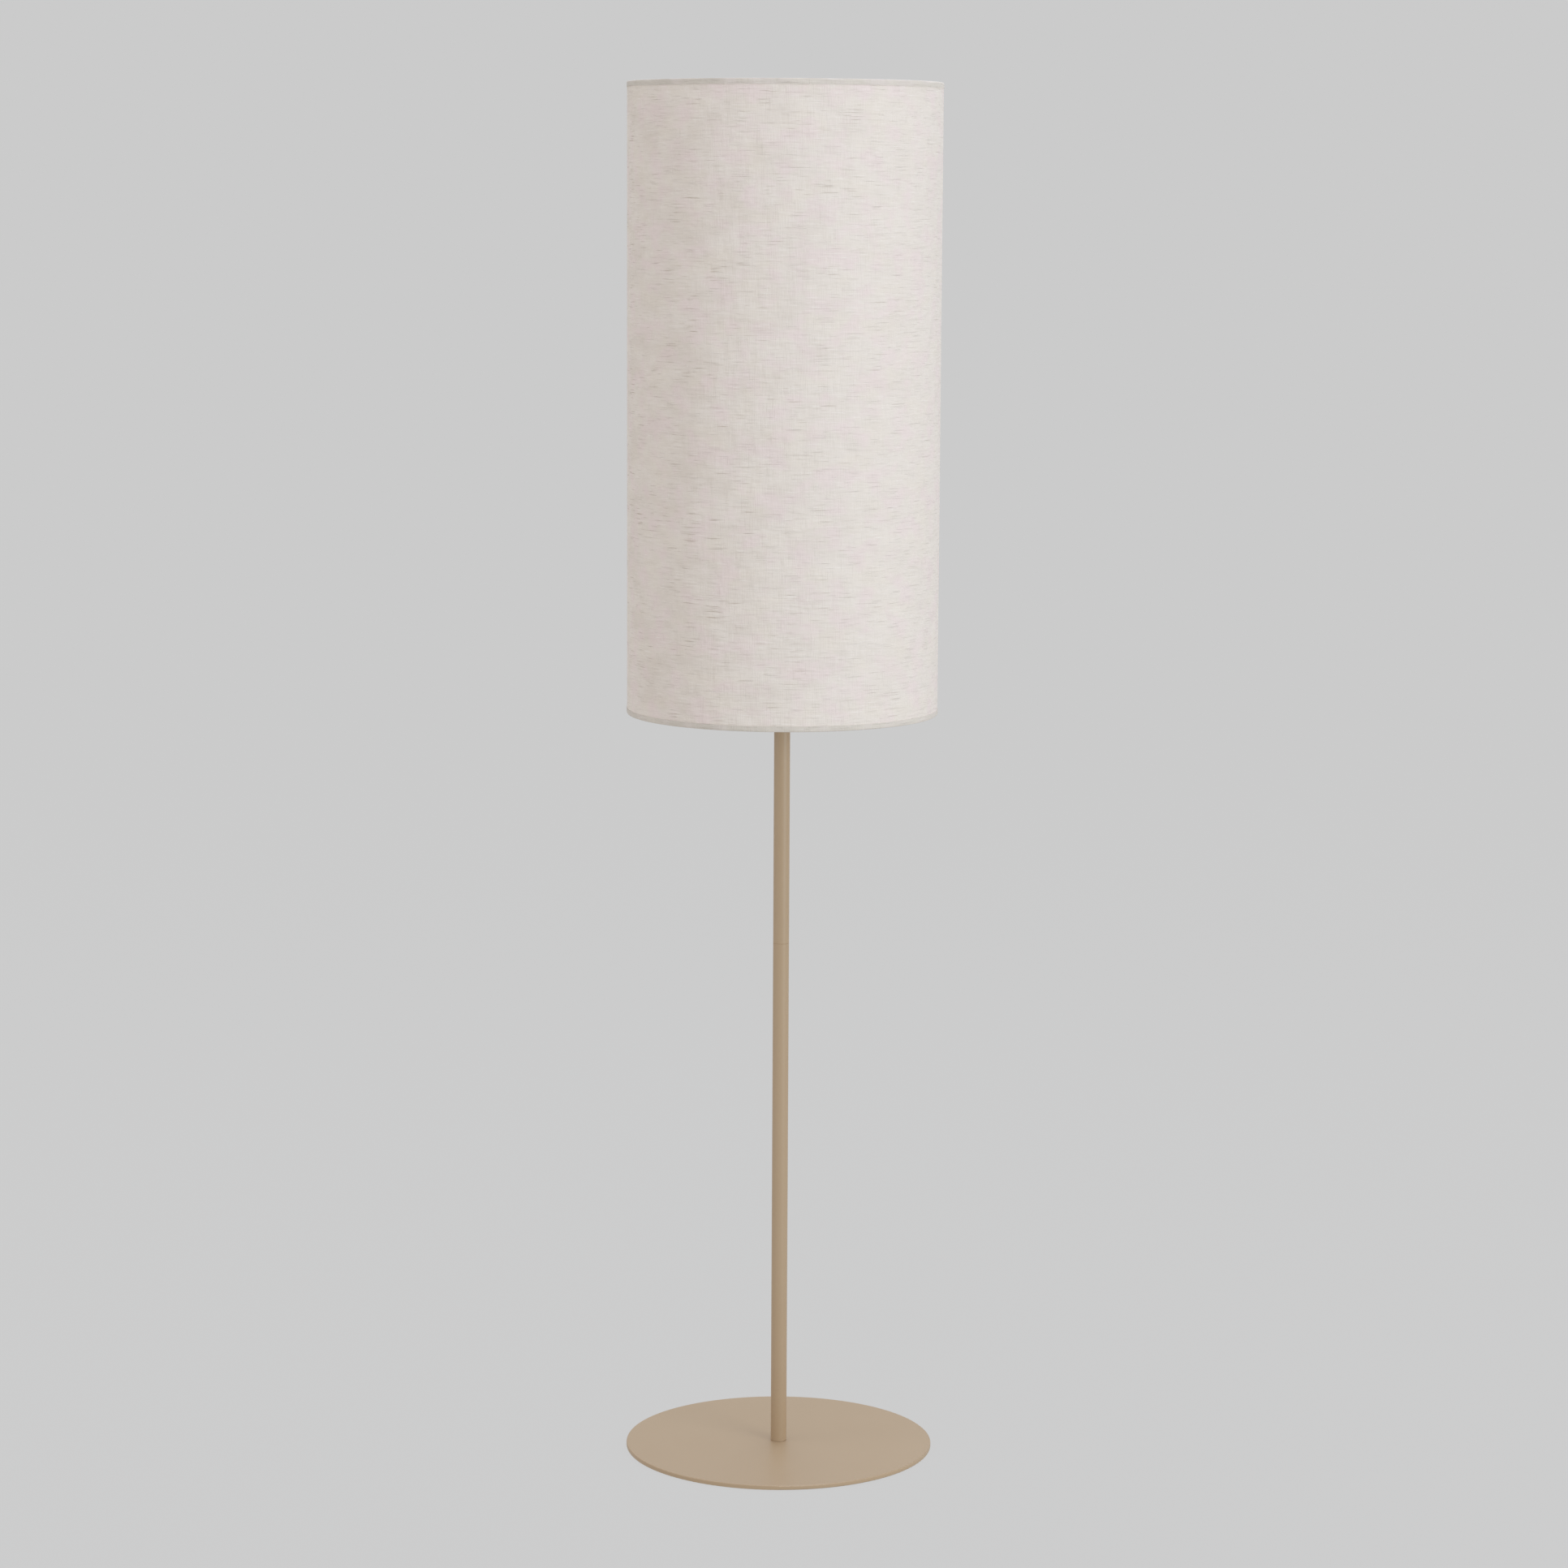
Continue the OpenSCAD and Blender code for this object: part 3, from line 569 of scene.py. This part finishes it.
def woven_linen(name, strip_end, dense_from, dense_most, light, dark, dense, slub, pale, cream, rose):
    """Plain weave: two base tones, dense places, dark and pale slubs, cream and rose patches.
    Dense places show where their noise is above dense_from, with dense_most at most. The pattern
    breaks off at strip_end, the turn in radians where the strip ends at the back.
    The mask of painted shade weights dense places and slubs to the left of the shade and so darkens
    that side.
    It was fitted to a photo in which that darkening is light and not cloth. It is fixed to the cloth
    and turns with it."""
    made, tree = material(name)
    place = add(tree, "TexCoord")
    turned_back = add(
        tree, "VectorRotate", {"rotation_type": "Z_AXIS", "Angle": math.pi / 2 - strip_end},
        {"Vector": place.outputs["Object"]},
    )
    split = add(tree, "SeparateXYZ", None, {0: turned_back.outputs[0]})
    front = add(tree, "Math", {"operation": "MULTIPLY", 1: -1.0}, {0: split.outputs["Y"]})
    turn = add(
        tree, "Math", {"operation": "ARCTAN2"}, {0: split.outputs["X"], 1: front.outputs[0]}
    )
    arc = add(tree, "Math", {"operation": "MULTIPLY", 1: cover_r}, {0: turn.outputs[0]})
    surface = add(tree, "CombineXYZ", None, {"X": arc.outputs[0], "Y": split.outputs["Z"]})
    weft = yarns(tree, surface, 24, 1.1, True, 3.1)
    warp = yarns(tree, surface, 18, 1.0, False, 8.7)
    weave = add(tree, "Mix", {0: 0.45}, {2: weft.outputs["Fac"], 3: warp.outputs["Fac"]})
    weave = between(tree, weave.outputs[0], 0.26, 0.74)
    tone = two_tones(tree, weave.outputs[0], dark, light)
    # Painted shade: this mask weights dense places and slubs towards the left of the shade, to darken
    # that side.
    painted_left_shade = add(
        tree, "MapRange", {"From Min": -cover_r, "From Max": cover_r, "To Min": 1.06, "To Max": 0.22},
        {"Value": split.outputs["X"]},
    )
    for along, over_mm, seed, part in ((60, 34, 71.4, 1.0), (24, 9, 52.6, 0.45)):
        uneven = yarns(tree, surface, along, over_mm, True, seed, 2.0)
        uneven = between(tree, uneven.outputs["Fac"], dense_from, 0.66, dense_most * part)
        tone = over(tree, times(tree, uneven, painted_left_shade), tone, dense)
    patches = yarns(tree, surface, 42, 30, True, 20.3, 2.0)
    tone = over(tree, between(tree, patches.outputs["Fac"], 0.47, 0.66, 0.28), tone, cream)
    patches = yarns(tree, surface, 30, 26, True, 41.9, 2.0)
    tone = over(tree, between(tree, patches.outputs["Fac"], 0.47, 0.66, 0.5), tone, rose)
    heavy = yarns(tree, surface, 60, 45, True, 60.4, 1.0)
    heavy = between(tree, heavy.outputs["Fac"], 0.38, 0.62)
    slubs = yarns(tree, surface, 30, 1.1, True, 15.2, 1.5)
    slubs = between(tree, slubs.outputs["Fac"], 0.63, 0.74)
    marks = times(tree, times(tree, slubs, heavy), painted_left_shade)
    tone = over(tree, marks, tone, slub)
    thin = yarns(tree, surface, 26, 1.1, True, 75.5, 1.0)
    tone = over(tree, between(tree, thin.outputs["Fac"], 0.65, 0.73, 0.6), tone, pale)
    upright = yarns(tree, surface, 14, 1.2, False, 33.3, 1.0)
    tone = over(tree, between(tree, upright.outputs["Fac"], 0.71, 0.78, 0.5), tone, pale)
    wavy = yarns(tree, surface, 26, 18, True, 66.6, 2.0)
    relief = bumps(tree, wavy.outputs["Fac"], 2.6, 0.7)
    pulled = yarns(tree, surface, 45, 14, False, 12.4, 2.0)
    relief = bumps(tree, pulled.outputs["Fac"], 2.4, 0.7, relief)
    thick = yarns(tree, surface, 24, 3.2, True, 90.2, 2.0)
    relief = bumps(tree, thick.outputs["Fac"], 1.1, 0.6, relief)
    relief = bumps(tree, warp.outputs["Fac"], 0.5, 0.5, relief)
    relief = bumps(tree, weave.outputs[0], 0.4, 0.5, relief)
    relief = bumps(tree, slubs.outputs[0], 0.5, 0.6, relief)
    flax = add(
        tree, "BsdfPrincipled", {"Roughness": 0.9, "Sheen Weight": 0.1, "Sheen Roughness": 0.5},
        {"Base Color": tone.outputs[2], "Normal": relief.outputs[0]},
    )
    show(tree, flax)
    return made


lap_angle = lap_width / cover_r
seam_turn = math.pi / 2 - lap_angle / 2
linen = woven_linen(
    "woven_linen_undyed", seam_turn + lap_angle, 0.42, 0.4, "#E7DED6", "#E3DAD0", "#D3C7BC",
    "#BCAC9B", "#EFE8E1", "#E5DBCD", "#E6D4D3"
)
lap_slant = 0.25 * lap_angle
cloth_wave = 0.06 * MM
cover_steps, cover_rises = 288, 90
turns = np.linspace(0, 2 * math.pi + lap_angle, cover_steps + 1)
lapped = np.clip((turns - 2 * math.pi) / lap_slant, 0, 1)
cover_rows = []
for z in np.linspace(cover_low.z, cover_high.z, cover_rises + 1):
    wave = cloth_wave * np.sin(5 * turns + 9 * z) * np.sin(7 * z)
    r = cover_r - cloth_wave + wave + lapped * lap_rise
    cover_rows.append(np.stack(
        [r * np.cos(seam_turn + turns), r * np.sin(seam_turn + turns), np.full_like(r, z)], axis=1
    ))
linen_cover = grid_object("linen_cover", cover_rows, cloth_thick, -1)
linen_cover.data.materials.append(linen)
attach(linen_cover, "shade")
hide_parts("shade_cover")

# --- Hems --------------------------------------------------------------------------------
# A strip of the same linen glued over the edge of the shade and round the ring wire, then
# down inside. Its tones are darker than the cover's, as painted shade, because opaque cloth can't
# show that a doubled layer lets less light through. Its dark dense places are partly real
# unevenness and, weighted to its left end, partly painted shade.
tape_gap = 8 * MM
tape_seam = seam_turn + lap_angle + tape_gap / cover_r
hem_linen = woven_linen(
    "woven_linen_hem", tape_seam + lap_angle, 0.25, 0.5, "#DFD7CD", "#DAD1C6", "#B0A99E",
    "#B4A79B", "#E2DCD5", "#D9D2C8", "#DACFCA"
)
hem_thick = 0.35 * MM
hem_wave = 0.12 * MM
tape_rise = 0.38 * MM
lap_slope = 3 * MM
roll_in = 2.05 * MM
roll_out = roll_in + hem_thick
roll_r = cover_r - roll_in
roll_depth = 2.65 * MM
band_height = 6.6 * MM
tuck_in = liner_in - 0.1 * MM - hem_thick
tuck_drop = 4 * MM
tuck_height = 8 * MM
notch_half = 2.5 * MM
knee = roll_depth + wire_r + 0.3 * MM
roll_steps = 16
hem_outline = [
    (cover_r + hem_thick, band_height - t * (band_height - roll_depth)) for t in (0, 0.33, 0.66)
]
for i in range(roll_steps + 1):
    a = math.pi * i / roll_steps
    square = 0.65 if i < roll_steps / 2 else 1.0
    out, up = abs(math.cos(a)) ** square, math.sin(a) ** square
    hem_outline.append(
        (roll_r + math.copysign(roll_out * out, math.cos(a)), roll_depth - roll_out * up)
    )
hem_outline.append((roll_r - roll_out, knee))
inner_side = len(hem_outline)
for t in (0.33, 0.66, 1):
    hem_outline.append((roll_r - roll_out + t * (tuck_in - roll_r + roll_out), knee + t * tuck_drop))
hem_outline.append((tuck_in, knee + tuck_drop + tuck_height / 2))
hem_outline.append((tuck_in, knee + tuck_drop + tuck_height))


def hem_tape(name, edge_z, up, node):
    """The tape on one edge of the shade, cut out round the struts on its inner side. Outside it
    climbs over the lap of the cover, and its own ends lap beside that."""
    outline = np.array(hem_outline)
    heading = np.gradient(outline, axis=0)
    heading /= np.linalg.norm(heading, axis=1)[:, None]
    away = np.stack([-heading[:, 1], heading[:, 0]], axis=1)
    outside = np.clip((outline[:, 0] - roll_r) / roll_out, 0, 1)
    columns = 364
    tape_turns = tape_seam + np.linspace(0, 2 * math.pi + lap_angle, columns + 1)
    rows = []
    for a in tape_turns:
        beside = abs(math.remainder(a - math.pi / 2, 2 * math.pi)) * cover_r - lap_width / 2
        climb = np.clip(1 - beside / lap_slope, 0, 1) * lap_rise
        lift = np.clip((a - tape_seam - 2 * math.pi) / lap_slant, 0, 1) * tape_rise
        r = outline[:, 0] + lift * away[:, 0] + climb * outside
        depth = outline[:, 1] + lift * away[:, 1]
        depth[0] += hem_wave * (math.sin(7 * a) + 0.6 * math.sin(19 * a + 1))
        rows.append(np.stack([r * np.cos(a), r * np.sin(a), edge_z - up * depth], axis=1))
    points = np.concatenate(rows)
    count = len(outline)
    faces = []
    for i in range(columns):
        middle = (tape_turns[i] + tape_turns[i + 1]) / 2
        beside = min(abs(math.remainder(middle - turn, 2 * math.pi)) for turn in spoke_turns)
        last = inner_side if beside * liner_in < notch_half else count
        for k in range(last - 1):
            a, b = i * count + k, (i + 1) * count + k
            faces.append((a, a + 1, b + 1, b) if up > 0 else (a, b, b + 1, a + 1))
    made = mesh_object(name, points, faces)
    solid = made.modifiers.new("thickness", "SOLIDIFY")
    solid.thickness = hem_thick
    solid.offset = 1
    sharp_rim(made)
    made.data.materials.append(hem_linen)
    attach(made, "shade")
    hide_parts(node)


hem_tape("top_hem_linen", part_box("top_hem")[1].z, 1, "top_hem")
hem_tape("bottom_hem_linen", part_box("bottom_hem")[0].z, -1, "bottom_hem")

# --- Bulb glass --------------------------------------------------------------------------
# A globe of opal glass, flashed white inside. The outside is smooth, with a soft shine.
opal, tree = material("blown_opal_glass")
place = add(tree, "TexCoord")
tone = two_tones(tree, noise(tree, place, 30).outputs["Fac"], "#F1EFEA", "#F5F3EE")
glass = add(
    tree, "BsdfPrincipled",
    {"Roughness": 0.3, "IOR": 1.52, "Coat Weight": 0.4, "Coat Roughness": 0.12},
    {"Base Color": tone.outputs[2]},
)
show(tree, glass)
set_finish(opal, "bulb_globe")

# --- Bulb collar -------------------------------------------------------------------------
# A moulded white housing that plugs into the screw cap and flares out to the globe. Its
# plug is slimmer than the thread, and a fine parting line runs round its lip.
moulded_white, tree = material("moulded_polycarbonate_white")
place = add(tree, "TexCoord")
tone = two_tones(tree, noise(tree, place, 4).outputs["Fac"], "#ECEAE4", "#F1EFEA")
gloss = add(
    tree, "BsdfPrincipled", {"Roughness": 0.32, "IOR": 1.58}, {"Base Color": tone.outputs[2]}
)
show(tree, gloss)
collar_low, collar_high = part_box("bulb_collar")
cap_low, cap_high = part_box("bulb_cap")
collar_r = collar_high.x / MM
collar_top = collar_high.z / MM
plug_low = collar_low.z / MM + 1.4
collar_foot = cap_high.z / MM + 0.2
globe_r, plug_r, neck_r = 30, 11.3, 14.0
globe_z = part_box("bulb_globe")[1].z / MM - globe_r
flare_end = np.array([collar_r, collar_top])
flare_start = np.array([neck_r, collar_foot + 3])
knee_r = (neck_r + collar_r) / 2 - 3
flare_knee = np.array([knee_r, collar_top - (collar_r - knee_r) * collar_r / (globe_z - collar_top)])
flare = [
    tuple((1 - t) ** 2 * flare_start + 2 * t * (1 - t) * flare_knee + t * t * flare_end)
    for t in np.linspace(0, 1, 25)
]
collar_section = [(0.01, plug_low), (plug_r, plug_low), (plug_r, collar_foot), (13.6, collar_foot)]
collar_section += [(neck_r, collar_foot + 0.4), (neck_r, collar_foot + 2.4), (13.7, collar_foot + 2.6)]
collar_section += [(neck_r, collar_foot + 2.8)] + flare + [(0.01, collar_top)]
collar = turned("bulb_collar_moulded", collar_section, {}, 128)
collar.data.materials.append(moulded_white)
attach(collar, "bulb")
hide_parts("bulb_collar")

# --- Bulb screw cap ----------------------------------------------------------------------
# Aluminium sheet rolled into the standard round thread. The rolling leaves its shine uneven.
rolled, tree = material("rolled_aluminium_bright")
place = add(tree, "TexCoord")
cloud = noise(tree, place, 2.0, 3.0)
tone = two_tones(tree, cloud.outputs["Fac"], "#BFC0C2", "#D2D3D3")
dull = add(tree, "MapRange", {"To Min": 0.2, "To Max": 0.36}, {"Value": cloud.outputs["Fac"]})
sheet_metal = add(
    tree, "BsdfPrincipled", {"Metallic": 1.0},
    {"Base Color": tone.outputs[2], "Roughness": dull.outputs[0]},
)
show(tree, sheet_metal)
set_finish(rolled, "bulb_tip")
cap_r = cap_high.x / MM
cap_foot, cap_top = cap_low.z / MM, cap_high.z / MM
cap_section = [
    (10.0, cap_foot), (10.5, cap_foot), (cap_r, cap_foot + 2.4), (cap_r, cap_top),
    (cap_r - 0.5, cap_top), (cap_r - 0.5, cap_foot + 2.4),
]
cap_thread = (3.63, 1.1, cap_foot + 2.0, cap_top - 1.2)
screw_cap = turned("bulb_screw_cap", cap_section, {2: cap_thread, 4: cap_thread}, 128)
screw_cap.data.materials.append(rolled)
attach(screw_cap, "bulb")
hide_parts("bulb_cap")

# --- Bulb insulator ----------------------------------------------------------------------
# A ring of black glass, pressed into the foot of the screw cap. It is glossy and faintly
# streaked.
vitrite, tree = material("pressed_black_glass")
place = add(tree, "TexCoord")
tone = two_tones(tree, noise(tree, place, 3).outputs["Fac"], "#171616", "#211F1F")
dark = add(
    tree, "BsdfPrincipled", {"Roughness": 0.12, "IOR": 1.52},
    {"Base Color": tone.outputs[2], "Normal": soft_edges(tree, 0.3).outputs[0]},
)
show(tree, dark)
set_finish(vitrite, "bulb_insulator")
